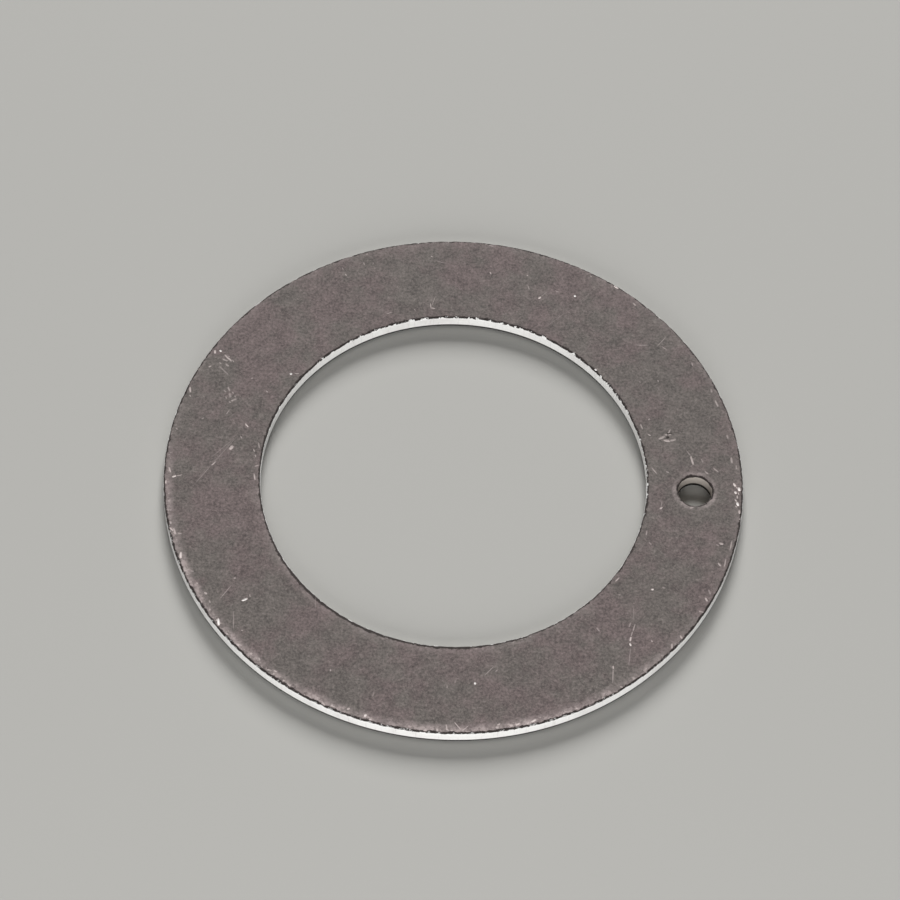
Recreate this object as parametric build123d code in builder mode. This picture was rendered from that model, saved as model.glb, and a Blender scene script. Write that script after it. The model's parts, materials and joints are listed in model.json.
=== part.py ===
from build123d import *
import os

# Flat shim ring, blanked from lined steel strip: a plain annulus with one
# small round hole for a locating pin, halfway across the width of the ring.
# All lengths are in millimetres.
#
# Frame: the origin is the centre of the bore on the underside. +Z is the
# bore's axis and points out of the lined face. The locating hole is on +X.

# The blank
outside_diameter = 78.0
bore_diameter = 52.0
thickness = 2.2

# The locating hole, on the circle midway between the bore and the outside
locating_hole_diameter = 4.5
locating_hole_circle = (outside_diameter + bore_diameter) / 2

# The sheared edges. The blank was cut from below, so the rim and the bore
# have the punch's die roll on the underside, and on the lined face only the
# rounding from deburring. The locating hole was punched from above.
die_roll_radius = 0.35
deburred_edge_radius = 0.2
hole_lip_radius = 0.3

with BuildPart() as shim_ring:
    with BuildSketch():
        Circle(outside_diameter / 2)
        Circle(bore_diameter / 2, mode=Mode.SUBTRACT)
    extrude(amount=thickness)

    # Die roll under the rim and the bore, and their deburred edges above
    edges_by_height = shim_ring.edges().group_by(Axis.Z)
    fillet(edges_by_height[0], radius=die_roll_radius)
    fillet(edges_by_height[-1], radius=deburred_edge_radius)

    # Locating hole, with the punch's rounded lip on the lined face
    with Locations((locating_hole_circle / 2, 0, thickness)):
        Hole(radius=locating_hole_diameter / 2)
    hole_edges = shim_ring.edges(Select.LAST).filter_by(GeomType.CIRCLE)
    fillet(hole_edges.group_by(Axis.Z)[-1], radius=hole_lip_radius)

shim_ring.part.label = "shim_ring"

os.makedirs("parts", exist_ok=True)
export_step(shim_ring.part, "parts/shim_ring.step")
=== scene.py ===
import json
import math

import bpy
from mathutils import Matrix, Vector


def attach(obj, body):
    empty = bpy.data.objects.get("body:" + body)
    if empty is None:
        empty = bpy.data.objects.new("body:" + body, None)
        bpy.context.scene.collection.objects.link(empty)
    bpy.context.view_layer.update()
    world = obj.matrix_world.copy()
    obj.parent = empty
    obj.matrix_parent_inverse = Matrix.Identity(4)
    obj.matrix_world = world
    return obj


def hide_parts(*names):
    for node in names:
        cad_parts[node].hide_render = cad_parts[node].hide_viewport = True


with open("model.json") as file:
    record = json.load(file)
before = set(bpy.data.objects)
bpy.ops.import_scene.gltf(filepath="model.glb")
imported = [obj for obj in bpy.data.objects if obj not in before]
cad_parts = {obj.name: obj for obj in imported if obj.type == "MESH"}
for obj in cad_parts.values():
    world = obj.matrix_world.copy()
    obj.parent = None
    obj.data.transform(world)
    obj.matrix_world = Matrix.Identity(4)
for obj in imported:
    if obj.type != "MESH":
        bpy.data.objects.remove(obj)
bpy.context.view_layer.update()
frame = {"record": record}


# The camera. It looks down on the lined face from in front, through a long lens from
# far off, with the locating hole on its right. It is held a little out of level.
CAMERA_LENS_MM = 153.2
CAMERA_DISTANCE = 0.5201
CAMERA_AZIMUTH = math.radians(0.93)
CAMERA_ELEVATION = math.radians(57.67)
CAMERA_ROLL = math.radians(2.42)
LOOKED_AT = (-0.00074, 0.00569, 0)
NEAREST_SEEN = 0.01
FARTHEST_SEEN = 10

camera = bpy.data.objects.new("camera", bpy.data.cameras.new("camera"))
bpy.context.scene.collection.objects.link(camera)
bpy.context.scene.camera = camera
camera.data.lens = CAMERA_LENS_MM
camera.data.clip_start = NEAREST_SEEN
camera.data.clip_end = FARTHEST_SEEN
towards_camera = Vector((
    math.sin(CAMERA_AZIMUTH) * math.cos(CAMERA_ELEVATION),
    -math.cos(CAMERA_AZIMUTH) * math.cos(CAMERA_ELEVATION),
    math.sin(CAMERA_ELEVATION),
))
camera.matrix_world = (
    Matrix.Translation(Vector(LOOKED_AT) + CAMERA_DISTANCE * towards_camera)
    @ towards_camera.to_track_quat("Z", "Y").to_matrix().to_4x4()
    @ Matrix.Rotation(CAMERA_ROLL, 4, "Z")
)


# The ring. It is one flat annulus blanked from steel strip that has a dark low-friction
# lining bonded to its upper face, with one small hole punched through for a locating
# pin. The lining is torn a little where the blanking tool sheared through it.
MM = 0.001
mounts = {m["name"]: m for m in frame["record"]["mounts"]}
OUTSIDE_RADIUS = mounts["rim"]["dims"]["r_mm"] * MM
BORE_RADIUS = mounts["bore"]["dims"]["r_mm"] * MM
THICKNESS = mounts["lined_face"]["pos_m"][2]
HOLE_RADIUS = mounts["locating_hole"]["dims"]["r_mm"] * MM
HOLE_CENTRE = mounts["locating_hole"]["pos_m"][0]
FACE_EDGE_RADIUS = 0.2 * MM
DIE_ROLL_RADIUS = 0.35 * MM
HOLE_LIP_RADIUS = 0.4 * MM
TORN_BAND = 0.45 * MM

# How the shears tore the lining, in millimetres: the depth at which the bare steel
# starts, and how far and how often that wanders; the height and width of the bright teeth
# of steel that reach above it, how many there are, the share of them that stay flat, and
# the least depth of lining over them; and over what height the one goes over to the other.
LINING_DEPTH = 0.24
LINING_WANDER = 0.3
WANDERS_PER_MM = 1.1
TOOTH_HEIGHT = 0.3
TOOTH_WIDTH = 0.45
TOOTH_TIP = 0.05
TEETH_PER_MM = 1.0
FLAT_SHARE = 0.35
LEAST_DEPTH = 0.15
TEAR_BLEND = 0.03

# How far the steel stands out past the cut lining, in millimetres, and how deep, how far
# in and how often the upper edge is bitten, with the share of a bite that goes downwards.
STEEL_STANDS_OUT = 0.05
STANDS_OUT_FROM = 0.3
STANDS_OUT_FULLY = 0.1
EDGE_BITE = 0.09
EDGE_BITE_REACH = 0.5
EDGE_BITE_CORE = 0.05
BITES_PER_MM = 0.9
BITE_DROP = 0.8

# How finely the section is stepped along each of its stretches.
FACE_STEPS = 8
CORNER_STEPS = 5
TORN_STEPS = 8
WALL_STEPS = 4
ROLL_STEPS = 4
BACK_STEPS = 4

# What handling has left in the lined face, in millimetres: scratches and specks from one
# place to another, how wide, and how bare the metal is in them. One below nought is a
# dark pit instead.
MARKS = (
    # round the locating hole
    (28.6, 8.7, 29.0, 9.6, 0.24, 0.22), (28.2, 7.8, 28.9, 7.7, 0.45, 0.3),
    (29.0, 7.8, 29.7, 8.0, 0.4, 0.2), (27.5, 8.0, 28.2, 8.4, 0.45, 0.2),
    (28.3, 8.7, 29.0, 8.8, 0.35, 0.25), (28.6, 8.2, 28.7, 8.25, 0.5, -0.9),
    (31.2, 6.4, 31.9, 5.4, 0.2, 0.14), (31.8, 5.6, 32.2, 4.1, 0.34, 0.3),
    (33.3, 5.1, 33.5, 4.6, 0.25, 0.12), (33.8, 3.2, 34.2, 2.8, 0.25, 0.2),
    (34.9, 3.8, 35.6, 3.2, 0.25, 0.18), (28.6, 2.8, 28.9, 2.7, 0.3, 0.2),
    (26.6, 3.3, 27.3, 2.4, 0.25, 0.2), (27.9, -3.1, 28.1, -2.9, 0.4, 0.35),
    (28.0, -2.8, 28.1, -2.0, 0.2, 0.12), (26.1, 11.1, 26.0, 11.0, 0.35, 0.2),
    (26.0, 8.6, 26.3, 8.4, 0.3, 0.25), (24.9, 10.2, 25.2, 9.4, 0.25, 0.2),
    (35.0, 14.7, 35.4, 13.7, 0.3, 0.22), (36.7, 9.2, 36.8, 8.7, 0.3, 0.15),
    (37.3, 5.6, 37.4, 4.8, 0.35, 0.22), (38.0, 4.4, 38.0, 3.8, 0.25, 0.15),
    (37.7, 1.5, 37.9, 1.1, 0.35, 0.5), (38.4, 0.8, 38.45, 0.5, 0.45, 0.7),
    (38.1, 0.9, 38.3, 0.7, 0.3, 0.4), (37.9, 0.2, 38.0, 0.0, 0.45, 0.6),
    (38.2, -0.4, 38.2, -0.8, 0.3, 0.35), (38.3, 0.1, 38.4, -0.2, 0.25, 0.35),
    (37.9, -1.0, 38.1, -1.3, 0.3, 0.4), (38.2, -1.5, 38.3, -1.9, 0.4, 0.7),
    (38.0, -2.0, 38.1, -2.2, 0.25, 0.35), (38.5, -2.7, 38.5, -3.2, 0.3, 0.35),
    (38.6, -3.8, 38.6, -4.3, 0.3, 0.4), (26.2, -6.7, 26.1, -7.4, 0.22, 0.2),
    (26.5, -8.4, 26.8, -8.8, 0.25, 0.12), (36.0, -8.0, 36.3, -8.1, 0.4, 0.3),
    (35.5, -8.2, 35.8, -8.4, 0.25, 0.15), (37.6, -7.4, 37.3, -9.0, 0.25, 0.2),
    (32.3, -2.6, 31.9, -2.7, 0.3, 0.2),
    # the near right
    (35.8, -11.1, 36.1, -11.5, 0.3, 0.3), (36.6, -11.6, 36.8, -10.4, 0.25, 0.22),
    (34.6, -15.3, 34.8, -15.9, 0.3, 0.15), (34.2, -16.6, 34.4, -17.0, 0.3, 0.35),
    (27.1, -15.7, 27.2, -15.7, 0.4, 0.55), (28.5, -15.3, 28.8, -15.4, 0.3, 0.15),
    (22.2, -14.8, 22.7, -14.2, 0.22, 0.3), (22.7, -16.8, 22.9, -16.8, 0.3, 0.12),
    (24.2, -21.6, 24.4, -21.0, 0.25, 0.15), (25.0, -21.1, 24.7, -22.3, 0.22, 0.2),
    (24.7, -22.2, 24.4, -23.4, 0.2, 0.2), (24.5, -23.1, 24.4, -23.7, 0.3, 0.4),
    (24.4, -24.1, 24.5, -24.4, 0.35, 0.6), (24.5, -24.6, 24.3, -27.5, 0.18, 0.12),
    (24.7, -18.4, 24.8, -20.6, 0.15, 0.08), (20.0, -22.0, 20.3, -22.5, 0.3, 0.15),
    (27.2, -23.5, 27.3, -23.6, 0.3, 0.25), (31.0, -22.5, 31.2, -22.9, 0.3, 0.3),
    (29.9, -23.8, 29.9, -24.5, 0.3, 0.25), (33.4, -18.6, 34.0, -18.8, 0.3, 0.2),
    (22.3, -27.6, 22.3, -28.0, 0.3, 0.35), (22.3, -27.9, 22.3, -30.2, 0.2, 0.2),
    (23.3, -30.6, 23.6, -30.7, 0.3, 0.25),
    # the near side
    (4.4, -31.35, 4.4, -31.3, 0.42, 0.9), (5.5, -30.2, 6.8, -28.6, 0.16, 0.16),
    (7.0, -29.4, 7.2, -29.2, 0.25, 0.15), (0.8, -32.3, 0.8, -31.9, 0.2, 0.15),
    (1.8, -31.5, 1.8, -31.0, 0.2, 0.12), (-8.8, -34.2, -8.6, -33.3, 0.2, 0.08),
    (2.0, -37.2, 2.9, -38.3, 0.16, 0.35), (3.9, -37.6, 3.0, -38.5, 0.16, 0.25),
    (1.0, -37.7, 1.1, -38.4, 0.25, 0.25), (-9.6, -37.0, -9.5, -36.9, 0.5, 0.6),
    (-11.9, -36.2, -11.7, -36.1, 0.4, 0.35), (-8.9, -37.5, -8.8, -37.5, 0.4, 0.4),
    (12.0, -36.5, 12.5, -36.2, 0.35, 0.5), (10.0, -37.1, 10.4, -36.9, 0.35, 0.45),
    (7.6, -37.3, 7.9, -37.1, 0.3, 0.35), (-14.5, -30.5, -14.5, -30.7, 0.3, 0.25),
    (-17.2, -19.6, -17.1, -21.6, 0.18, 0.08),
    # the near left
    (-26.8, -20.9, -26.2, -20.6, 0.35, 0.75), (-25.9, -19.9, -25.8, -20.3, 0.2, 0.25),
    (-28.3, -18.5, -29.8, -20.9, 0.16, 0.15), (-28.1, -17.6, -28.0, -17.5, 0.4, 0.18),
    (-29.7, -23.9, -29.6, -24.8, 0.4, 0.75), (-31.1, -21.2, -31.0, -21.5, 0.3, 0.2),
    (-31.0, -22.5, -30.9, -22.5, 0.3, 0.25), (-31.8, -20.0, -31.6, -20.2, 0.4, 0.3),
    (-33.0, -18.6, -32.9, -18.7, 0.3, 0.25), (-27.8, -22.4, -27.6, -25.4, 0.2, 0.12),
    (-26.5, -25.4, -26.4, -25.4, 0.3, 0.2), (-25.1, -28.8, -24.9, -28.8, 0.3, 0.3),
    (-23.9, -29.4, -23.8, -29.7, 0.3, 0.25), (-21.8, -31.1, -21.5, -31.3, 0.3, 0.35),
    (-20.5, -32.5, -20.4, -32.5, 0.3, 0.35), (-35.5, -14.1, -35.5, -14.9, 0.4, 0.5),
    (-33.9, -16.8, -33.6, -16.9, 0.3, 0.15), (-37.4, -10.3, -36.6, -11.0, 0.3, 0.4),
    (-36.8, -10.5, -36.5, -11.3, 0.4, 0.3), (-36.2, -11.1, -35.7, -11.2, 0.25, 0.2),
    # the far left
    (-38.3, -0.9, -38.0, -1.7, 0.25, 0.3), (-37.7, -2.4, -37.2, -2.2, 0.3, 0.5),
    (-37.2, -2.2, -36.4, -2.0, 0.2, 0.25), (-38.5, -3.0, -38.5, -3.5, 0.25, 0.4),
    (-30.3, 2.6, -30.1, 2.9, 0.55, 0.35), (-32.7, -0.3, -32.1, 0.4, 0.25, 0.3),
    (-29.2, 5.2, -35.4, -4.5, 0.2, 0.08), (-29.8, 4.4, -32.9, 0.9, 0.16, 0.08),
    (-28.6, 6.7, -28.2, 6.2, 0.25, 0.4), (-29.1, 4.7, -28.9, 4.3, 0.25, 0.2),
    (-27.2, 2.7, -27.0, 2.3, 0.25, 0.25), (-26.9, 1.8, -26.8, 1.5, 0.25, 0.25),
    (-26.8, 0.0, -26.3, 0.2, 0.2, 0.25), (-26.8, -1.2, -26.6, -2.2, 0.25, 0.3),
    (-26.6, 3.8, -26.4, 2.9, 0.25, 0.18), (-33.7, 18.3, -33.7, 17.9, 0.35, 0.4),
    (-33.0, 18.35, -32.9, 18.3, 0.4, 0.9), (-32.3, 17.7, -31.3, 16.7, 0.35, 0.3),
    (-32.5, 17.0, -31.9, 16.7, 0.3, 0.2), (-32.0, 16.2, -31.7, 15.9, 0.35, 0.18),
    (-34.3, 15.6, -34.1, 15.7, 0.35, 0.25), (-32.9, 15.8, -31.5, 14.4, 0.25, 0.12),
    (-36.6, 12.1, -36.5, 11.3, 0.3, 0.35), (-36.5, 10.8, -36.4, 10.6, 0.3, 0.2),
    (-31.4, 12.4, -31.2, 11.9, 0.3, 0.18), (-31.1, 11.4, -31.0, 10.9, 0.4, 0.15),
    (-30.8, 10.3, -30.2, 10.6, 0.35, 0.18), (-31.3, 8.1, -31.0, 8.7, 0.22, 0.15),
    (-34.5, 7.1, -34.3, 7.3, 0.3, 0.12), (-37.9, 5.4, -37.7, 5.2, 0.3, 0.18),
    (-23.1, 15.2, -23.0, 15.2, 0.4, 0.95), (-22.5, 15.3, -22.0, 15.3, 0.25, 0.2),
    (-28.4, 14.1, -28.2, 14.1, 0.3, 0.15), (-26.2, 12.2, -26.0, 12.0, 0.3, 0.18),
    (-31.9, 11.9, -31.7, 11.7, 0.35, 0.14), (-30.8, 11.7, -30.6, 11.5, 0.3, 0.18),
    (-31.6, 10.9, -31.5, 10.6, 0.3, 0.16), (-30.4, 11.1, -30.3, 10.9, 0.35, 0.14),
    (-31.1, 10.1, -30.9, 10.0, 0.3, 0.2), (-31.9, 17.5, -31.7, 17.4, 0.35, 0.22),
    (-32.9, 16.4, -32.7, 16.2, 0.3, 0.15), (-31.2, 16.9, -31.0, 16.6, 0.3, 0.18),
    # the far side
    (-16.7, 32.3, -16.6, 32.0, 0.25, 0.25), (-17.2, 33.3, -17.1, 33.0, 0.25, 0.15),
    (-14.3, 34.4, -14.2, 34.0, 0.25, 0.18), (-13.0, 34.5, -13.0, 34.2, 0.2, 0.12),
    (-13.9, 35.9, -14.0, 35.8, 0.25, 0.15), (-5.0, 36.1, -4.8, 36.0, 0.22, 0.3),
    (-4.3, 35.4, -2.8, 35.0, 0.2, 0.1), (3.3, 34.0, 3.5, 33.6, 0.25, 0.3),
    (8.5, 33.8, 8.6, 33.7, 0.25, 0.25), (10.3, 30.0, 10.5, 30.2, 0.4, 0.45),
    (10.6, 30.3, 11.4, 31.2, 0.15, 0.12), (8.7, 32.0, 8.9, 31.4, 0.2, 0.15),
    (-4.7, 28.2, -4.5, 27.2, 0.2, 0.25), (-4.5, 27.4, -4.0, 27.3, 0.2, 0.3),
    (-4.5, 27.6, -4.0, 29.5, 0.13, 0.14), (-6.8, 27.0, -6.7, 26.8, 0.22, 0.18),
    (-10.6, 26.0, -9.9, 26.3, 0.22, 0.15), (3.0, 38.5, 3.6, 38.4, 0.25, 0.2),
    (12.7, 31.3, 12.9, 31.3, 0.35, 0.15), (15.25, 30.75, 15.3, 30.7, 0.42, 0.95),
    (17.3, 34.3, 17.5, 34.1, 0.25, 0.2), (20.7, 32.8, 21.2, 32.4, 0.35, 0.5),
    (23.4, 30.1, 23.7, 29.7, 0.3, 0.2), (26.8, 23.0, 28.1, 24.8, 0.18, 0.12),
    (27.5, 23.1, 28.2, 22.6, 0.2, 0.16), (23.9, 23.1, 25.9, 23.2, 0.2, 0.16),
    (31.7, 20.7, 31.8, 20.2, 0.25, 0.18), (18.5, 18.7, 18.6, 18.6, 0.4, 0.9),
    (27.1, 17.5, 27.2, 17.3, 0.3, 0.16), (24.6, 17.1, 24.7, 17.0, 0.3, 0.1),
    (34.4, 16.5, 34.5, 16.0, 0.3, 0.15), (14.8, 28.4, 19.0, 33.3, 0.1, 0.06),
    (11.4, 25.2, 14.3, 28.1, 0.12, 0.08),
)


def put(tree, kind, inputs=None, **settings):
    """Adds a node to a tree, with its settings, and its inputs linked or given values."""
    node = tree.nodes.new(kind)
    for name, value in settings.items():
        setattr(node, name, value)
    for name, value in (inputs or {}).items():
        if isinstance(value, bpy.types.NodeSocket):
            tree.links.new(value, node.inputs[name])
        else:
            node.inputs[name].default_value = value
    return node


def maths(tree, operation, *values):
    """The output of a Math node on one, two or three values."""
    return put(tree, "ShaderNodeMath", dict(enumerate(values)), operation=operation).outputs[0]


def vector(tree, x=0.0, y=0.0, z=0.0):
    """The output of a Combine XYZ node."""
    return put(tree, "ShaderNodeCombineXYZ", {0: x, 1: y, 2: z}).outputs[0]


def parts(tree, value):
    """The three numbers of a vector."""
    return put(tree, "ShaderNodeSeparateXYZ", {0: value}).outputs


def measured(tree, operation, *values):
    """The number that a Vector Math node gives, such as a length or a distance."""
    return put(tree, "ShaderNodeVectorMath", dict(enumerate(values)), operation=operation).outputs["Value"]


def scaled(tree, value, times):
    """A vector times a number, or times another vector."""
    if isinstance(times, tuple):
        return put(tree, "ShaderNodeVectorMath", {0: value, 1: times}, operation="MULTIPLY").outputs[0]
    return put(tree, "ShaderNodeVectorMath", {0: value, "Scale": times}, operation="SCALE").outputs[0]


def spread(tree, value, low, high, to_low=0.0, to_high=1.0, kind="SMOOTHSTEP"):
    """A value that goes from one level to another while the given one goes from low to high."""
    if kind == "SMOOTHSTEP" and not isinstance(low, bpy.types.NodeSocket) and low > high:
        low, high, to_low, to_high = high, low, to_high, to_low
    return put(tree, "ShaderNodeMapRange", {
        "Value": value, 1: low, 2: high, 3: to_low, 4: to_high}, interpolation_type=kind).outputs[0]


def noise(tree, place, per_mm, detail, roughness=0.5):
    """A noise with this many features in a millimetre."""
    return put(tree, "ShaderNodeTexNoise", {
        "Vector": place, "Scale": per_mm, "Detail": float(detail), "Roughness": roughness}).outputs["Fac"]


def new_group(name, kind, inputs, outputs):
    """A node group with these sockets: its tree, its inputs by name and its output node."""
    tree = bpy.data.node_groups.new(name, kind)
    for label, (socket_type, value) in inputs.items():
        socket = tree.interface.new_socket(label, in_out="INPUT", socket_type=socket_type)
        if value is not None:
            socket.default_value = value
    for label, socket_type in outputs.items():
        tree.interface.new_socket(label, in_out="OUTPUT", socket_type=socket_type)
    entry = tree.nodes.new("NodeGroupInput")
    return tree, {s.name: s for s in entry.outputs if s.name}, tree.nodes.new("NodeGroupOutput")


NUMBER, COUNT, VECTOR, GEOMETRY, COLOUR = (
    "NodeSocketFloat", "NodeSocketInt", "NodeSocketVector", "NodeSocketGeometry", "NodeSocketColor")


def lining_tear(tree, place):
    """How deep under the face the bare steel starts, in millimetres, by place on the plan."""
    plan = scaled(tree, place, (1, 1, 0))
    wander = maths(tree, "SUBTRACT", noise(tree, plan, WANDERS_PER_MM, 3, 0.65), 0.5)
    edge = maths(tree, "MULTIPLY_ADD", wander, LINING_WANDER, LINING_DEPTH)
    cells = put(tree, "ShaderNodeTexVoronoi", {"Vector": plan, "Scale": TEETH_PER_MM})
    odds = parts(tree, cells.outputs["Color"])[0]
    tooth = spread(tree, cells.outputs["Distance"], TOOTH_WIDTH, TOOTH_TIP, kind="LINEAR")
    height = spread(tree, odds, FLAT_SHARE, 1.0, 0.0, TOOTH_HEIGHT, kind="LINEAR")
    toothed = maths(tree, "SUBTRACT", edge, maths(tree, "MULTIPLY", tooth, height))
    return maths(tree, "MAXIMUM", toothed, LEAST_DEPTH)


def straight(tree, start, end, steps, easing="LINEAR"):
    """A straight stretch of the section, its points crowded towards its ends by the easing."""
    line = put(tree, "GeometryNodeCurvePrimitiveLine", {"Start": (0, 0, 0), "End": (1, 0, 0)})
    points = put(tree, "GeometryNodeResampleCurve", {"Curve": line.outputs[0], "Count": steps + 1})
    along = put(tree, "GeometryNodeSplineParameter").outputs["Factor"]
    eased = spread(tree, along, 0, 1, kind=easing)
    place = put(tree, "ShaderNodeMix", {"Factor": eased}, data_type="VECTOR")
    tree.links.new(vector(tree, *start), place.inputs[4])
    tree.links.new(vector(tree, *end), place.inputs[5])
    return put(tree, "GeometryNodeSetPosition", {
        "Geometry": points.outputs[0], "Position": place.outputs[1]}).outputs[0]


def corner(tree, centre, radius, start_angle, steps, sweep=-math.pi / 2):
    """A rounded corner of the section, a quarter of a circle unless its sweep says otherwise."""
    arc = put(tree, "GeometryNodeCurveArc", {
        "Resolution": steps + 1, "Radius": radius, "Start Angle": start_angle, "Sweep Angle": sweep})
    return put(tree, "GeometryNodeTransform", {
        "Geometry": arc.outputs[0], "Translation": vector(tree, *centre)}).outputs[0]


def stored(tree, geometry, name, value, kind="FLOAT"):
    """A geometry that carries a value under this name."""
    return put(tree, "GeometryNodeStoreNamedAttribute", {
        "Geometry": geometry, "Name": name, "Value": value}, data_type=kind).outputs[0]


def carried(tree, name, kind="FLOAT"):
    """The value that a geometry carries under this name."""
    return put(tree, "GeometryNodeInputNamedAttribute", {"Name": name}, data_type=kind).outputs[0]


MERGE_DISTANCE = 1e-7


def turned(tree, stretches, segments):
    """The solid that a section, its X the radius and its Y the height, sweeps round the Z axis."""
    section = put(tree, "GeometryNodeJoinGeometry")
    for stretch in reversed(stretches):
        tree.links.new(stretch, section.inputs[0])
    here = put(tree, "GeometryNodeInputPosition").outputs[0]
    profile = stored(tree, section.outputs[0], "section", here, "FLOAT_VECTOR")
    circle = put(tree, "GeometryNodeCurvePrimitiveCircle", {"Resolution": segments}).outputs[0]
    turn = maths(tree, "MULTIPLY", put(tree, "GeometryNodeSplineParameter").outputs["Factor"], math.tau)
    path = stored(tree, circle, "turn", turn)
    swept = put(tree, "GeometryNodeCurveToMesh", {"Curve": path, "Profile Curve": profile}).outputs[0]
    radius, height = parts(tree, carried(tree, "section", "FLOAT_VECTOR"))[:2]
    angle = carried(tree, "turn")
    x = maths(tree, "MULTIPLY", radius, maths(tree, "COSINE", angle))
    y = maths(tree, "MULTIPLY", radius, maths(tree, "SINE", angle))
    laid = put(tree, "GeometryNodeSetPosition", {"Geometry": swept, "Position": vector(tree, x, y, height)})
    return put(tree, "GeometryNodeMergeByDistance", {
        "Geometry": laid.outputs[0], "Distance": MERGE_DISTANCE}).outputs[0]


tree, given, end = new_group("blanked_ring", "GeometryNodeTree", {
    "Marks": (GEOMETRY, None),
    "Outside Radius": (NUMBER, OUTSIDE_RADIUS),
    "Bore Radius": (NUMBER, BORE_RADIUS),
    "Thickness": (NUMBER, THICKNESS),
    "Face Edge Radius": (NUMBER, FACE_EDGE_RADIUS),
    "Die Roll Radius": (NUMBER, DIE_ROLL_RADIUS),
    "Hole Radius": (NUMBER, HOLE_RADIUS),
    "Hole Centre": (NUMBER, HOLE_CENTRE),
    "Hole Lip Radius": (NUMBER, HOLE_LIP_RADIUS),
    "Torn Band": (NUMBER, TORN_BAND),
    "Segments Round": (COUNT, 1440),
    "Segments Round Hole": (COUNT, 128),
}, {"Geometry": GEOMETRY})
rim, bore, top = given["Outside Radius"], given["Bore Radius"], given["Thickness"]
face_edge, die_roll = given["Face Edge Radius"], given["Die Roll Radius"]
under_face = maths(tree, "SUBTRACT", top, face_edge)
under_tear = maths(tree, "SUBTRACT", under_face, given["Torn Band"])
rim_face = maths(tree, "SUBTRACT", rim, face_edge)
rim_roll = maths(tree, "SUBTRACT", rim, die_roll)
bore_face = maths(tree, "ADD", bore, face_edge)
bore_roll = maths(tree, "ADD", bore, die_roll)
blank = turned(tree, [
    straight(tree, (bore_face, top), (rim_face, top), FACE_STEPS, "SMOOTHERSTEP"),
    corner(tree, (rim_face, under_face), face_edge, math.radians(90), CORNER_STEPS),
    straight(tree, (rim, under_face), (rim, under_tear), TORN_STEPS),
    straight(tree, (rim, under_tear), (rim, die_roll), WALL_STEPS, "SMOOTHSTEP"),
    corner(tree, (rim_roll, die_roll), die_roll, 0, ROLL_STEPS),
    straight(tree, (rim_roll, 0), (bore_roll, 0), BACK_STEPS, "SMOOTHERSTEP"),
    corner(tree, (bore_roll, die_roll), die_roll, math.radians(-90), ROLL_STEPS),
    straight(tree, (bore, die_roll), (bore, under_tear), WALL_STEPS, "SMOOTHSTEP"),
    straight(tree, (bore, under_tear), (bore, under_face), TORN_STEPS),
    corner(tree, (bore_face, under_face), face_edge, math.radians(180), CORNER_STEPS),
], given["Segments Round"])

# The torn upper edge: the cut lining lies a little behind the steel under it, and the
# edge over it is bitten inwards and down, more at some places than at others.
here = put(tree, "GeometryNodeInputPosition").outputs[0]
in_mm = scaled(tree, here, 1 / MM)
below = maths(tree, "SUBTRACT", top, parts(tree, here)[2])
plan = scaled(tree, here, (1, 1, 0))
radius = measured(tree, "LENGTH", plan)
from_rim = maths(tree, "SUBTRACT", rim, radius)
from_bore = maths(tree, "SUBTRACT", radius, bore)
from_wall = maths(tree, "MINIMUM", from_rim, from_bore)
middle = maths(tree, "MULTIPLY", maths(tree, "ADD", rim, bore), 0.5)
side = maths(tree, "SIGN", maths(tree, "SUBTRACT", radius, middle))
outwards = put(tree, "ShaderNodeVectorMath", {0: plan}, operation="NORMALIZE").outputs[0]
inwards = scaled(tree, outwards, maths(tree, "MULTIPLY", side, -1))
tear = maths(tree, "MULTIPLY", lining_tear(tree, in_mm), MM)
over_tear = spread(tree, maths(tree, "SUBTRACT", tear, below), -TEAR_BLEND * MM, TEAR_BLEND * MM)
on_wall = spread(tree, from_wall, STANDS_OUT_FROM * MM, STANDS_OUT_FULLY * MM)
set_back = maths(tree, "MULTIPLY", maths(tree, "MULTIPLY", over_tear, on_wall), STEEL_STANDS_OUT * MM)
bitten = spread(tree, noise(tree, in_mm, BITES_PER_MM, 3, 0.7), 0.42, 0.8, 0.0, EDGE_BITE * MM)
to_corner = measured(tree, "LENGTH", vector(tree, from_wall, below))
near_corner = spread(tree, to_corner, EDGE_BITE_REACH * MM, EDGE_BITE_CORE * MM)
bite = maths(tree, "MULTIPLY", bitten, near_corner)
pushed = scaled(tree, inwards, maths(tree, "ADD", set_back, bite))
dropped = vector(tree, z=maths(tree, "MULTIPLY", bite, -BITE_DROP))
moved = put(tree, "ShaderNodeVectorMath", {0: pushed, 1: dropped}, operation="ADD").outputs[0]
torn = put(tree, "GeometryNodeSetPosition", {"Geometry": blank, "Offset": moved}).outputs[0]

# The punch that the hole is cut with: its side leaves the wall, and its flare the lip,
# which meets the face at a shallow angle.
PUNCH_OVERRUN = 1 * MM
LIP_SWEEP = math.radians(75)
LIP_STEPS = 5
HOLE_STEPS = 8
hole, lip = given["Hole Radius"], given["Hole Lip Radius"]
lip_middle = maths(tree, "ADD", hole, lip)
lip_foot = maths(tree, "MULTIPLY_ADD", lip, -math.sin(LIP_SWEEP), top)
lip_end = maths(tree, "MULTIPLY_ADD", lip, -math.cos(LIP_SWEEP), lip_middle)
flare = maths(tree, "ADD", lip_end, PUNCH_OVERRUN * math.tan(LIP_SWEEP))
above = maths(tree, "ADD", top, PUNCH_OVERRUN)
punch = turned(tree, [
    straight(tree, (0, above), (flare, above), 1),
    straight(tree, (flare, above), (lip_end, top), 1),
    corner(tree, (lip_middle, lip_foot), lip, math.pi - LIP_SWEEP, LIP_STEPS, LIP_SWEEP),
    straight(tree, (hole, lip_foot), (hole, -PUNCH_OVERRUN), HOLE_STEPS),
    straight(tree, (hole, -PUNCH_OVERRUN), (0, -PUNCH_OVERRUN), 1),
], given["Segments Round Hole"])
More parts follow.
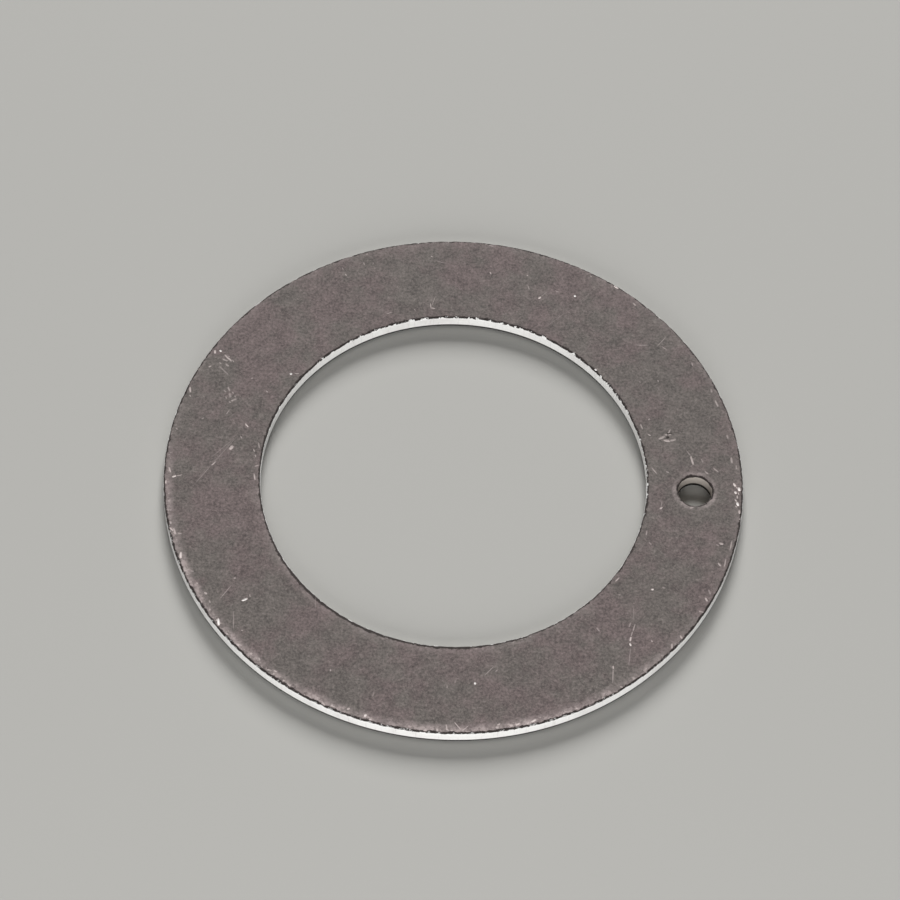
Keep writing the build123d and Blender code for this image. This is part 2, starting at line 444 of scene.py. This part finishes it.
placed_punch = put(tree, "GeometryNodeTransform", {
    "Geometry": punch, "Translation": vector(tree, given["Hole Centre"])}).outputs[0]

# The gouges that the marks are cut with: a ball with an uneven skin, stretched to the
# mark's size, and held high enough to leave sloping sides. Its hollow is bare at the
# bottom. Long marks get the finer ball, and they are cut in a few rounds, since gouges
# that overlap can't be in the same one.
GOUGE_RISE = 0.6
GOUGE_UNEVEN = 0.5
GOUGE_LUMPS = 1.7
HOLLOW_FLOOR = -0.9
HOLLOW_RIM_BARENESS = 0.3
SPECK_BALL = 2
SCRATCH_BALL = 3
LONG_MARK = 0.7 * MM
GOUGE_ROUNDS = 4
MARK_DEPTH = 0.02
DEEPENING = 0.2


def gouge(tree, here, subdivisions):
    """The ball that marks are cut with, before it is stretched."""
    ball = put(tree, "GeometryNodeMeshIcoSphere", {"Radius": 1.0, "Subdivisions": subdivisions}).outputs[0]
    skin = maths(tree, "SUBTRACT", noise(tree, here, GOUGE_LUMPS, 2), 0.5)
    bulge = scaled(tree, here, maths(tree, "MULTIPLY", skin, GOUGE_UNEVEN))
    uneven = put(tree, "GeometryNodeSetPosition", {"Geometry": ball, "Offset": bulge}).outputs[0]
    hollow = spread(tree, parts(tree, here)[2], -GOUGE_RISE, HOLLOW_FLOOR, HOLLOW_RIM_BARENESS, 1.0)
    return stored(tree, uneven, "hollow", hollow)


kinds = put(tree, "GeometryNodeGeometryToInstance")
for subdivisions in (SCRATCH_BALL, SPECK_BALL):
    tree.links.new(gouge(tree, here, subdivisions), kinds.inputs[0])
length, width, depth = parts(tree, carried(tree, "size", "FLOAT_VECTOR"))
turn_round = vector(tree, z=carried(tree, "heading"))
is_scratch = put(tree, "FunctionNodeCompare", {"A": length, "B": LONG_MARK}).outputs[0]
deep = maths(tree, "DIVIDE", depth, 1 - GOUGE_RISE)
half_width = 0.5 / math.sqrt(1 - GOUGE_RISE ** 2)
lift = vector(tree, z=maths(tree, "MULTIPLY_ADD", deep, GOUGE_RISE, top))
lifted = put(tree, "GeometryNodeSetPosition", {"Geometry": given["Marks"], "Offset": lift}).outputs[0]
stretch = vector(
    tree, maths(tree, "MULTIPLY", length, half_width), maths(tree, "MULTIPLY", width, half_width), deep)
index = put(tree, "GeometryNodeInputIndex").outputs[0]
gouges = []
for number in range(GOUGE_ROUNDS):
    this_round = put(tree, "FunctionNodeCompare", {
        "A": maths(tree, "MODULO", index, GOUGE_ROUNDS), "B": float(number)}, operation="EQUAL").outputs[0]
    placed = put(tree, "GeometryNodeInstanceOnPoints", {
        "Points": lifted, "Selection": this_round, "Instance": kinds.outputs[0], "Pick Instance": True,
        "Instance Index": is_scratch, "Rotation": turn_round, "Scale": stretch})
    gouges.append(put(tree, "GeometryNodeRealizeInstances", {"Geometry": placed.outputs[0]}).outputs[0])


def cut(tree, solid, tools):
    """A solid with tools' shapes cut out of it, and the edges where they met."""
    node = put(tree, "GeometryNodeMeshBoolean", {"Mesh 1": solid}, operation="DIFFERENCE", solver="MANIFOLD")
    for tool in tools:
        tree.links.new(tool, node.inputs["Mesh 2"])
    return node.outputs[0], node.outputs["Intersecting Edges"]


CREASE_ANGLE = math.radians(35)
punched = cut(tree, torn, [placed_punch])[0]
dented, dent_edges = cut(tree, punched, gouges)
finish = bpy.data.materials.new("lined_steel")
painted = put(tree, "GeometryNodeSetMaterial", {"Geometry": dented, "Material": finish})
smooth = put(tree, "GeometryNodeSetShadeSmooth", {"Geometry": painted.outputs[0]})
bend = put(tree, "GeometryNodeInputMeshEdgeAngle").outputs["Unsigned Angle"]
sharp = put(tree, "FunctionNodeCompare", {"A": bend, "B": CREASE_ANGLE}).outputs[0]
edges = put(tree, "FunctionNodeBooleanMath", {0: sharp, 1: dent_edges}, operation="OR").outputs[0]
creased = put(tree, "GeometryNodeSetShadeSmooth", {
    "Geometry": smooth.outputs[0], "Shade Smooth": False, "Selection": edges}, domain="EDGE")
solid = put(tree, "GeometryNodeRealizeInstances", {"Geometry": creased.outputs[0]})
tree.links.new(solid.outputs[0], end.inputs[0])

# The places of the marks, as points that carry their sizes, headings and bareness.
marks = bpy.data.meshes.new("marks")
middles = [((x1 + x2) / 2 * MM, (y1 + y2) / 2 * MM, 0) for x1, y1, x2, y2, width, bare in MARKS]
marks.from_pydata(middles, [], [])
for label, kind in (("size", "FLOAT_VECTOR"), ("heading", "FLOAT"), ("bared", "FLOAT")):
    marks.attributes.new(label, kind, "POINT")
for number, (x1, y1, x2, y2, width, bare) in enumerate(MARKS):
    length = math.hypot(x2 - x1, y2 - y1) + width
    depth = MARK_DEPTH + DEEPENING * width * abs(bare)
    marks.attributes["size"].data[number].vector = (length * MM, width * MM, depth * MM)
    marks.attributes["heading"].data[number].value = math.atan2(y2 - y1, x2 - x1)
    marks.attributes["bared"].data[number].value = bare


def made_by(tree, name, start):
    """The plain mesh object that a geometry tree makes from a mesh."""
    maker = bpy.data.objects.new(name + "_maker", start)
    bpy.context.scene.collection.objects.link(maker)
    maker.modifiers.new("shape", "NODES").node_group = tree
    shape = bpy.data.meshes.new_from_object(maker.evaluated_get(bpy.context.evaluated_depsgraph_get()))
    shape.name = name
    bpy.data.objects.remove(maker)
    piece = bpy.data.objects.new(name, shape)
    bpy.context.scene.collection.objects.link(piece)
    return piece


ring = made_by(tree, "lined_ring", marks)
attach(ring, "root")
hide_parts("shim_ring")


# The finish. The lining is a dull brown-grey film with a fine grain and soft clouds. Its
# cut edge is near black, partly its own colour and partly painted shade, a band beside it
# is rubbed lighter, with painted highlights on the near rim and round the hole, and the
# sheared steel under it is bright, with a painted contact shadow where it rolls under.
LINING_GREY = (0.117, 0.102, 0.094, 1)
LINING_BROWN = (0.130, 0.102, 0.099, 1)
# Lighter: rubbed wear, and also painted highlight on the near rim and round the hole's lip.
LINING_RUBBED_AND_HIGHLIGHT = (0.400, 0.335, 0.325, 1)
LINING_CHIPPED = (0.58, 0.50, 0.48, 1)
# Near black: the cut lining's own colour, also used as painted shade along the cut edge.
LINING_CUT_AND_SHADE = (0.038, 0.031, 0.029, 1)
BARE_METAL = (0.82, 0.80, 0.78, 1)
SHEARED_STEEL = (0.94, 0.93, 0.91, 1)
PUNCHED_STEEL = (0.44, 0.40, 0.36, 1)
DULL_STEEL = (0.60, 0.56, 0.55, 1)
BACK_STEEL = (0.56, 0.55, 0.54, 1)
# Painted contact shadow: near black where the steel rolls under onto the floor.
ROLLED_EDGE_SHADE = (0.008, 0.007, 0.006, 1)


def mixed(tree, amount, first, second):
    """One colour going over to another."""
    return put(tree, "ShaderNodeMix", {"Factor": amount, 6: first, 7: second}, data_type="RGBA").outputs[2]


def blended(tree, amount, first, second):
    """One number going over to another."""
    return put(tree, "ShaderNodeMix", {"Factor": amount, 2: first, 3: second}, data_type="FLOAT").outputs[0]


def both(tree, *amounts):
    """The product of some amounts, each from nought to one."""
    result = amounts[0]
    for amount in amounts[1:]:
        result = maths(tree, "MULTIPLY", result, amount)
    return result


def about_nought(tree, value, width):
    """A noise moved and stretched so that it swings evenly about nought over this width."""
    return maths(tree, "MULTIPLY", maths(tree, "SUBTRACT", value, 0.5), width)


# Where a point is on the section: how far from the ring's axis, how far in from the
# nearest sheared edge and how far under the face, all in millimetres, and which way is out.
RIM_MM = OUTSIDE_RADIUS / MM
BORE_MM = BORE_RADIUS / MM
THICKNESS_MM = THICKNESS / MM
tree, given, end = new_group("sheared_edge", "ShaderNodeTree", {
    "Place": (VECTOR, None),
    "Rim": (NUMBER, RIM_MM),
    "Bore": (NUMBER, BORE_MM),
    "Hole": (NUMBER, HOLE_RADIUS / MM),
    "Hole Centre": (VECTOR, (HOLE_CENTRE / MM, 0, 0)),
    "Thickness": (NUMBER, THICKNESS_MM),
}, {"From Axis": NUMBER, "From Edge": NUMBER, "From Hole": NUMBER, "Below Face": NUMBER, "Outwards": VECTOR})
plan = scaled(tree, given["Place"], (1, 1, 0))
radius = measured(tree, "LENGTH", plan)
from_hole = maths(tree, "SUBTRACT", measured(tree, "DISTANCE", plan, given["Hole Centre"]), given["Hole"])
to_bore = maths(tree, "SUBTRACT", radius, given["Bore"])
to_rim = maths(tree, "SUBTRACT", given["Rim"], radius)
from_edge = maths(tree, "MINIMUM", maths(tree, "MINIMUM", to_rim, to_bore), from_hole)
below = maths(tree, "SUBTRACT", given["Thickness"], parts(tree, given["Place"])[2])
outwards = put(tree, "ShaderNodeVectorMath", {0: plan}, operation="NORMALIZE").outputs[0]
tree.links.new(radius, end.inputs["From Axis"])
tree.links.new(from_edge, end.inputs["From Edge"])
tree.links.new(from_hole, end.inputs["From Hole"])
tree.links.new(below, end.inputs["Below Face"])
tree.links.new(outwards, end.inputs["Outwards"])

# The lining's own look, away from its edges: clouds of its two colours, with soft shades,
# a fine grain and pale flecks over them.
tree, given, end = new_group("lining_film", "ShaderNodeTree", {
    "Place": (VECTOR, None),
    "Grey": (COLOUR, LINING_GREY),
    "Brown": (COLOUR, LINING_BROWN),
    "Cloud Scale": (NUMBER, 0.15),
    "Shade Scale": (NUMBER, 0.5),
    "Shade": (NUMBER, 1.0),
    "Grain Scale": (NUMBER, 2.7),
    "Grain": (NUMBER, 2.3),
    "Fleck Scale": (NUMBER, 1.9),
    "Flecks": (NUMBER, 0.36),
    "Lightness": (NUMBER, 0.97),
    "Least Roughness": (NUMBER, 0.62),
    "Grain Roughness": (NUMBER, 0.2),
    "Grain Height": (NUMBER, 0.03),
}, {"Color": COLOUR, "Roughness": NUMBER, "Height": NUMBER})
clouds = spread(tree, noise(tree, given["Place"], given["Cloud Scale"], 3, 0.6), 0.38, 0.62)
base = mixed(tree, clouds, given["Grey"], given["Brown"])
grain = noise(tree, given["Place"], given["Grain Scale"], 3, 0.75)
grained = about_nought(tree, grain, given["Grain"])
shaded = about_nought(tree, noise(tree, given["Place"], given["Shade Scale"], 3, 0.65), given["Shade"])
flecks = spread(tree, noise(tree, given["Place"], given["Fleck Scale"], 3, 0.7), 0.5, 0.7)
flecked = both(tree, flecks, given["Flecks"])
unevenness = maths(tree, "ADD", maths(tree, "ADD", grained, shaded), flecked)
level = maths(tree, "ADD", unevenness, given["Lightness"])
tree.links.new(scaled(tree, base, level), end.inputs["Color"])
roughness = maths(tree, "MULTIPLY_ADD", grain, given["Grain Roughness"], given["Least Roughness"])
tree.links.new(roughness, end.inputs["Roughness"])
tree.links.new(both(tree, grain, given["Grain Height"]), end.inputs["Height"])

# The sheared wall: bright, with fine upright lines from the tool and a few dull pits.
tree, given, end = new_group("sheared_wall", "ShaderNodeTree", {
    "Place": (VECTOR, None),
    "Bright": (COLOUR, SHEARED_STEEL),
    "Dull": (COLOUR, DULL_STEEL),
    "Line Scale": (NUMBER, 2.4),
    "Lines": (NUMBER, 0.35),
    "Patch Scale": (NUMBER, 0.25),
    "Patches": (NUMBER, 0.25),
    "Pit Scale": (NUMBER, 1.7),
    "Pits": (NUMBER, 0.5),
    "Least Roughness": (NUMBER, 0.3),
    "Line Roughness": (NUMBER, 0.3),
    "Line Height": (NUMBER, 0.03),
}, {"Color": COLOUR, "Roughness": NUMBER, "Height": NUMBER})
UPRIGHT = (1, 1, 0.12)
lines = noise(tree, scaled(tree, given["Place"], UPRIGHT), given["Line Scale"], 4, 0.7)
patches = noise(tree, given["Place"], given["Patch Scale"], 2, 0.5)
pits = spread(tree, noise(tree, given["Place"], given["Pit Scale"], 2, 0.6), 0.68, 0.76)
lined = both(tree, spread(tree, lines, 0.5, 0.75), given["Lines"])
patched = both(tree, spread(tree, patches, 0.5, 0.7), given["Patches"])
dullness = maths(tree, "MAXIMUM", maths(tree, "ADD", lined, patched), both(tree, pits, given["Pits"]))
tree.links.new(mixed(tree, dullness, given["Bright"], given["Dull"]), end.inputs["Color"])
roughness = maths(tree, "MULTIPLY_ADD", lines, given["Line Roughness"], given["Least Roughness"])
tree.links.new(roughness, end.inputs["Roughness"])
tree.links.new(both(tree, lines, given["Line Height"]), end.inputs["Height"])

FINISH_SPECULAR = 0.2
finish.use_nodes = True
tree = finish.node_tree
surface = tree.nodes["Principled BSDF"]
surface.inputs["Specular IOR Level"].default_value = FINISH_SPECULAR
place = scaled(tree, put(tree, "ShaderNodeTexCoord").outputs["Object"], 1 / MM)


def group(tree, name, place):
    """The outputs of a placed node group."""
    node = tree.nodes.new("ShaderNodeGroup")
    node.node_tree = bpy.data.node_groups[name]
    tree.links.new(place, node.inputs["Place"])
    return node.outputs


edge = group(tree, "sheared_edge", place)
film = group(tree, "lining_film", place)
wall = group(tree, "sheared_wall", place)

# The side that has been handled most and that faces the camera, and how squarely a point lies towards it.
NEAR_SIDE = (-0.35, -0.94, 0)
nearness = measured(tree, "DOT_PRODUCT", edge["Outwards"], NEAR_SIDE)

# The rubbed band beside the edges, in millimetres in from them. It is patchy and speckled,
# strongest on the near side of the rim, where it is partly rubbed wear and partly painted highlight
# of the rounded edge, a painted highlight of the lip round the hole, and chipped lighter in places.
RUBBED_FROM = 1.7
RUBBED_FULLY = 0.5
RIM_RUBBED_FROM = 3.0
RIM_RUBBED_FULLY = 1.6
HOLE_HIGHLIGHT_FROM = 1.0
HOLE_HIGHLIGHT_FULLY = 0.6
HOLE_HIGHLIGHT_LEVEL = 0.5
CHIPPED_FROM = 1.0
CHIPPED_FULLY = 0.5
CHIPPING = 0.7
patchy = spread(tree, noise(tree, place, 0.35, 3, 0.6), 0.35, 0.65, 0.35, 1.0)
speckled = spread(tree, noise(tree, place, 1.6, 3, 0.7), 0.35, 0.62, 0.25, 1.0)
near_side_wear_and_highlight = both(
    tree, spread(tree, nearness, 0.1, 0.8, 0.12, 1.0),
    spread(tree, edge["From Axis"], RIM_MM - RIM_RUBBED_FROM, RIM_MM - RIM_RUBBED_FULLY, 0.25, 1.0))
# Painted highlight of the hole's lip, in the lighter colour.
hole_lip_highlight = spread(tree, edge["From Hole"], HOLE_HIGHLIGHT_FROM, HOLE_HIGHLIGHT_FULLY, 0.0, HOLE_HIGHLIGHT_LEVEL)
band = spread(tree, edge["From Edge"], RUBBED_FROM, RUBBED_FULLY)
rubbed_and_highlight = both(tree, band, maths(tree, "MAXIMUM", near_side_wear_and_highlight, hole_lip_highlight), patchy, speckled)
chips = spread(tree, noise(tree, place, 1.5, 2, 0.6), 0.58, 0.66)
chip_band = spread(tree, edge["From Edge"], CHIPPED_FROM, CHIPPED_FULLY)
chipped = both(tree, chips, near_side_wear_and_highlight, chip_band, CHIPPING)
colour = mixed(tree, rubbed_and_highlight, film["Color"], LINING_RUBBED_AND_HIGHLIGHT)
colour = mixed(tree, chipped, colour, LINING_CHIPPED)

# The lining's cut edge, dark and ragged: partly the cut lining's own dark colour and partly painted shade
# along the rounded edge where it turns away from view, the painted shade wider on the near side of the bore.
CUT_SHADE_FROM = 0.34
CUT_SHADE_FULLY = 0.2
CUT_RAGGEDNESS = 0.9
NEAR_BORE_SHADE_EXTRA = 0.2
BORE_ZONE_END = 1.5
BORE_ZONE_START = 1.0
at_bore = spread(tree, edge["From Axis"], BORE_MM + BORE_ZONE_END, BORE_MM + BORE_ZONE_START)
near_bore_shade = both(tree, spread(tree, nearness, 0.55, 0.95), at_bore)
widened_by_shade = maths(tree, "MULTIPLY_ADD", near_bore_shade, -NEAR_BORE_SHADE_EXTRA, edge["From Edge"])
ragged = about_nought(tree, noise(tree, place, 1.1, 3, 0.7), CUT_RAGGEDNESS)
cut_edge_and_shade = spread(tree, maths(tree, "ADD", widened_by_shade, ragged), CUT_SHADE_FROM, CUT_SHADE_FULLY)
colour = mixed(tree, cut_edge_and_shade, colour, LINING_CUT_AND_SHADE)

# The teeth of steel drawn up over the far side of the bore and, fainter, the near rim.
TOOTH_REACH = 1.6
RIM_TEETH = 0.4
RIM_ZONE_START = 1.5
RIM_ZONE_END = 1.0
spiky = about_nought(tree, noise(tree, place, 1.6, 3, 0.7), TOOTH_REACH)
teeth = spread(tree, maths(tree, "ADD", edge["From Edge"], spiky), 0.02, -0.04)
at_rim = spread(tree, edge["From Axis"], RIM_MM - RIM_ZONE_START, RIM_MM - RIM_ZONE_END)
far_bore = both(tree, spread(tree, nearness, 0.0, -0.5), at_bore)
near_rim = both(tree, spread(tree, nearness, 0.1, 0.6, 0.0, RIM_TEETH), at_rim)
drawn_up = both(tree, teeth, maths(tree, "MAXIMUM", far_bore, near_rim))
colour = mixed(tree, drawn_up, colour, SHEARED_STEEL)

# The marks: pits below nought are dark, shallow scratches pale, and only the barest metal.
bareness = both(
    tree, put(tree, "ShaderNodeAttribute", attribute_name="bared").outputs["Fac"],
    put(tree, "ShaderNodeAttribute", attribute_name="hollow").outputs["Fac"])
colour = mixed(tree, maths(tree, "MULTIPLY", bareness, -1), colour, LINING_CUT_AND_SHADE)
colour = mixed(tree, spread(tree, bareness, 0.0, 0.5, kind="LINEAR"), colour, LINING_CHIPPED)
colour = mixed(tree, spread(tree, bareness, 0.35, 0.9), colour, BARE_METAL)

# The steel: it starts where the lining is torn off the wall, is darker in the punched
# hole, has a painted contact shadow, near black, where it rolls under, and is plain on the back.
ROLL_SHADE_STARTS = 0.62
ROLL_SHADE_BLACK = 0.45
BACK_STARTS = 0.06
BACK_FULLY = 0.01
tear = lining_tear(tree, place)
under_tear = spread(tree, maths(tree, "SUBTRACT", edge["Below Face"], tear), -TEAR_BLEND, TEAR_BLEND)
off_face = maths(
    tree, "MAXIMUM", spread(tree, edge["From Edge"], 0.4, 0.2), spread(tree, edge["Below Face"], 0.5, 0.6))
steel = both(tree, under_tear, off_face)
on_back = spread(tree, edge["Below Face"], THICKNESS_MM - BACK_STARTS, THICKNESS_MM - BACK_FULLY)
# Painted contact shadow: the wall is painted near black low down, where the steel rolls under.
rolled_under_shade = spread(tree, edge["Below Face"], THICKNESS_MM - ROLL_SHADE_STARTS, THICKNESS_MM - ROLL_SHADE_BLACK)
in_hole = spread(tree, edge["From Hole"], 0.5, 0.3)
steel_colour = mixed(tree, in_hole, wall["Color"], PUNCHED_STEEL)
steel_colour = mixed(tree, rolled_under_shade, steel_colour, ROLLED_EDGE_SHADE)
steel_colour = mixed(tree, on_back, steel_colour, BACK_STEEL)
colour = mixed(tree, steel, colour, steel_colour)
tree.links.new(colour, surface.inputs["Base Color"])

MARK_METALLIC = 0.3
WALL_METALLIC = 0.1
BACK_METALLIC = 0.85
CUT_ROUGHNESS = 0.85
BUMP_STRENGTH = 0.5
steel_metallic = both(tree, steel, blended(tree, on_back, WALL_METALLIC, BACK_METALLIC))
metallic = maths(tree, "MAXIMUM", both(tree, bareness, MARK_METALLIC), steel_metallic)
tree.links.new(metallic, surface.inputs["Metallic"])
lining_roughness = blended(tree, cut_edge_and_shade, film["Roughness"], CUT_ROUGHNESS)
roughness = blended(tree, steel, lining_roughness, wall["Roughness"])
tree.links.new(roughness, surface.inputs["Roughness"])
height = blended(tree, steel, film["Height"], wall["Height"])
bump = put(tree, "ShaderNodeBump", {"Height": height, "Strength": BUMP_STRENGTH, "Distance": MM})
tree.links.new(bump.outputs[0], surface.inputs["Normal"])


# The floor and the light. The ring lies on a plain pale board under a large soft light
# behind it, with a lower one in front that lights the walls on the camera's side.
FLOOR_SIZE = 4.0
FLOOR_DROP = 0.00001
FLOOR_COLOUR = (0.40, 0.395, 0.375, 1)
FLOOR_ROUGHNESS = 0.75
FLOOR_SPECULAR = 0.2
WORLD_COLOUR = (1, 1, 1, 1)
WORLD_LEVEL = 0.09
half = FLOOR_SIZE / 2
corners = [(x, y, -FLOOR_DROP) for x, y in ((-half, -half), (half, -half), (half, half), (-half, half))]
floor_mesh = bpy.data.meshes.new("floor")
floor_mesh.from_pydata(corners, [], [(0, 1, 2, 3)])
floor = bpy.data.objects.new("floor", floor_mesh)
bpy.context.scene.collection.objects.link(floor)
floor_material = bpy.data.materials.new("floor")
floor_material.use_nodes = True
board = floor_material.node_tree.nodes["Principled BSDF"]
board.inputs["Base Color"].default_value = FLOOR_COLOUR
board.inputs["Roughness"].default_value = FLOOR_ROUGHNESS
board.inputs["Specular IOR Level"].default_value = FLOOR_SPECULAR
floor.data.materials.append(floor_material)

world = bpy.data.worlds.new("studio")
world.use_nodes = True
world.node_tree.nodes["Background"].inputs["Color"].default_value = WORLD_COLOUR
world.node_tree.nodes["Background"].inputs["Strength"].default_value = WORLD_LEVEL
bpy.context.scene.world = world


def soft_light(name, azimuth, elevation, distance, size, level):
    """A square lamp aimed at the ring, that alone gives a matt surface facing it this level."""
    lamp = bpy.data.lights.new(name, "AREA")
    lamp.size = size
    lamp.energy = 4 * math.pi * level * distance ** 2
    light = bpy.data.objects.new(name, lamp)
    bpy.context.scene.collection.objects.link(light)
    turn = math.radians(azimuth)
    rise = math.radians(elevation)
    away = Vector((math.sin(turn) * math.cos(rise), -math.cos(turn) * math.cos(rise), math.sin(rise)))
    aim = away.to_track_quat("Z", "Y").to_matrix().to_4x4()
    light.matrix_world = Matrix.Translation(distance * away) @ aim


soft_light("back_light", azimuth=180, elevation=30, distance=2.0, size=0.8, level=1.20)
soft_light("front_light", azimuth=0, elevation=22, distance=0.6, size=0.4, level=0.76)

bpy.context.scene.view_settings.view_transform = "Standard"
